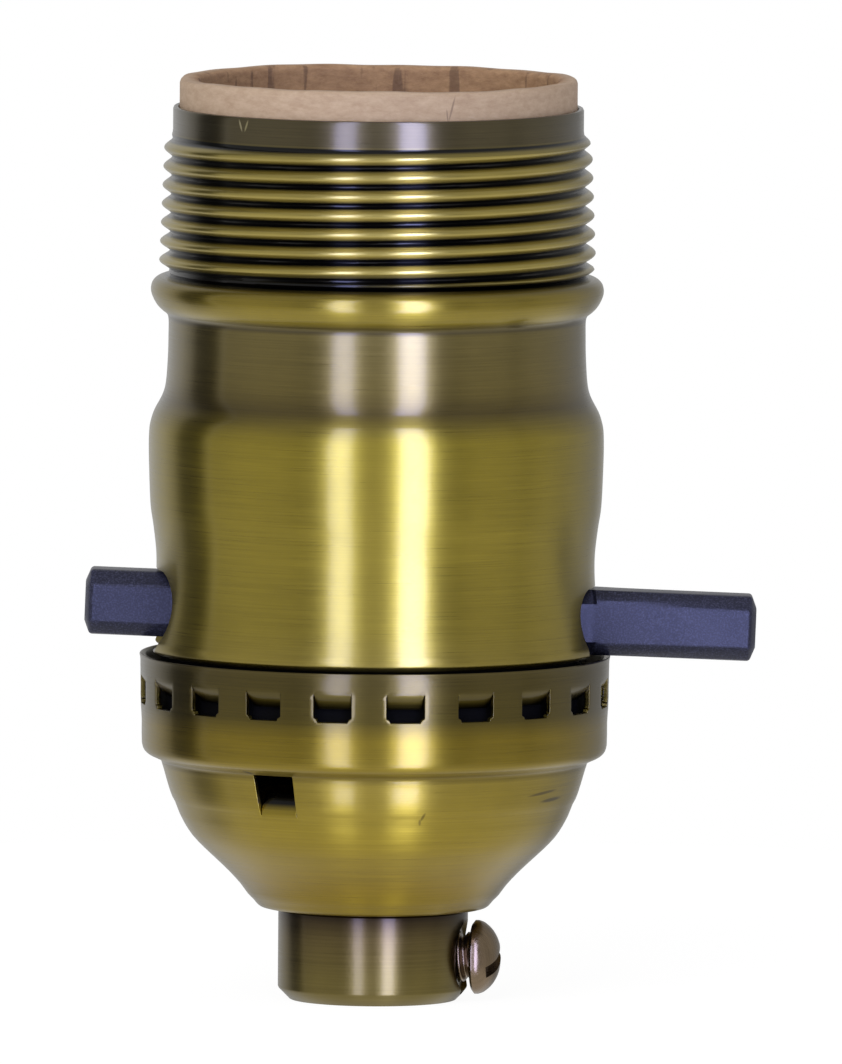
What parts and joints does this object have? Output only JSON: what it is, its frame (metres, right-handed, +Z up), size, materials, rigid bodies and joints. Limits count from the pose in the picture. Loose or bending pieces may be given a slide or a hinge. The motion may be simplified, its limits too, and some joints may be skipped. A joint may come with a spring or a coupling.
{
  "type": "lamp holder",
  "caption": "Push-through lamp holder: threaded brass shell with a paper liner, a brass cap with lanced windows, a black bar switch through the shell and a bushing with a set screw.",
  "frame": {"origin": "on the holder's axis at the mouth of the bushing's pipe thread, its lowest face", "axes": "+Z up the axis towards the lamp's opening, +X towards the longer end of the push bar and the set screw's side, -Y to the front"},
  "size_m": [0.052, 0.0364, 0.0715],
  "materials": {
    "antique_brass": "drawn and rolled, antique, brushed and lacquered",
    "turned_brass": "turned and brushed",
    "bronze_screw": "plated bronze",
    "liner_paper": "brown fibre paper",
    "black_phenolic": "moulded, semi matte",
    "bar_phenolic": "moulded, satin",
    "contact_brass": "plain rolled",
    "screw_shell_brass": "plain rolled",
    "spring_steel": "bright wire",
    "plated_steel": "zinc plated"
  },
  "bodies": {
    "holder": {"shell": "antique_brass", "cap": "antique_brass", "cap_bushing": "turned_brass", "set_screw": "bronze_screw", "shell_liner": "liner_paper", "base_block": "black_phenolic", "switch_cover": "black_phenolic", "rocker_bracket": "contact_brass", "fixed_contact": "contact_brass", "line_terminal": "contact_brass", "neutral_terminal": "contact_brass", "line_terminal_screw": "contact_brass", "neutral_terminal_screw": "plated_steel", "screw_shell": "screw_shell_brass", "centre_contact": "contact_brass", "centre_contact_rivet": "contact_brass", "assembly_screws": "plated_steel"},
    "push_bar": {"push_bar": "bar_phenolic", "switch_spring": "spring_steel", "spring_plunger": "contact_brass"},
    "rocker": {"rocker": "contact_brass"}
  },
  "joints": [
    {"name": "bar_slide", "type": "slide", "parent": "holder", "child": "push_bar", "axis": [-0.9994, 0, 0.0349], "range_m": [0, 0.007]},
    {"name": "rocker_tip", "type": "hinge", "parent": "holder", "child": "rocker", "pos_m": [0.00019, 0, 0.03545], "axis": [0, 1, 0], "range_deg": [0, 16.05]}
  ],
  "couplings": [
    {"joint": "rocker_tip", "follows": "bar_slide", "rad_per_m": 40}
  ]
}
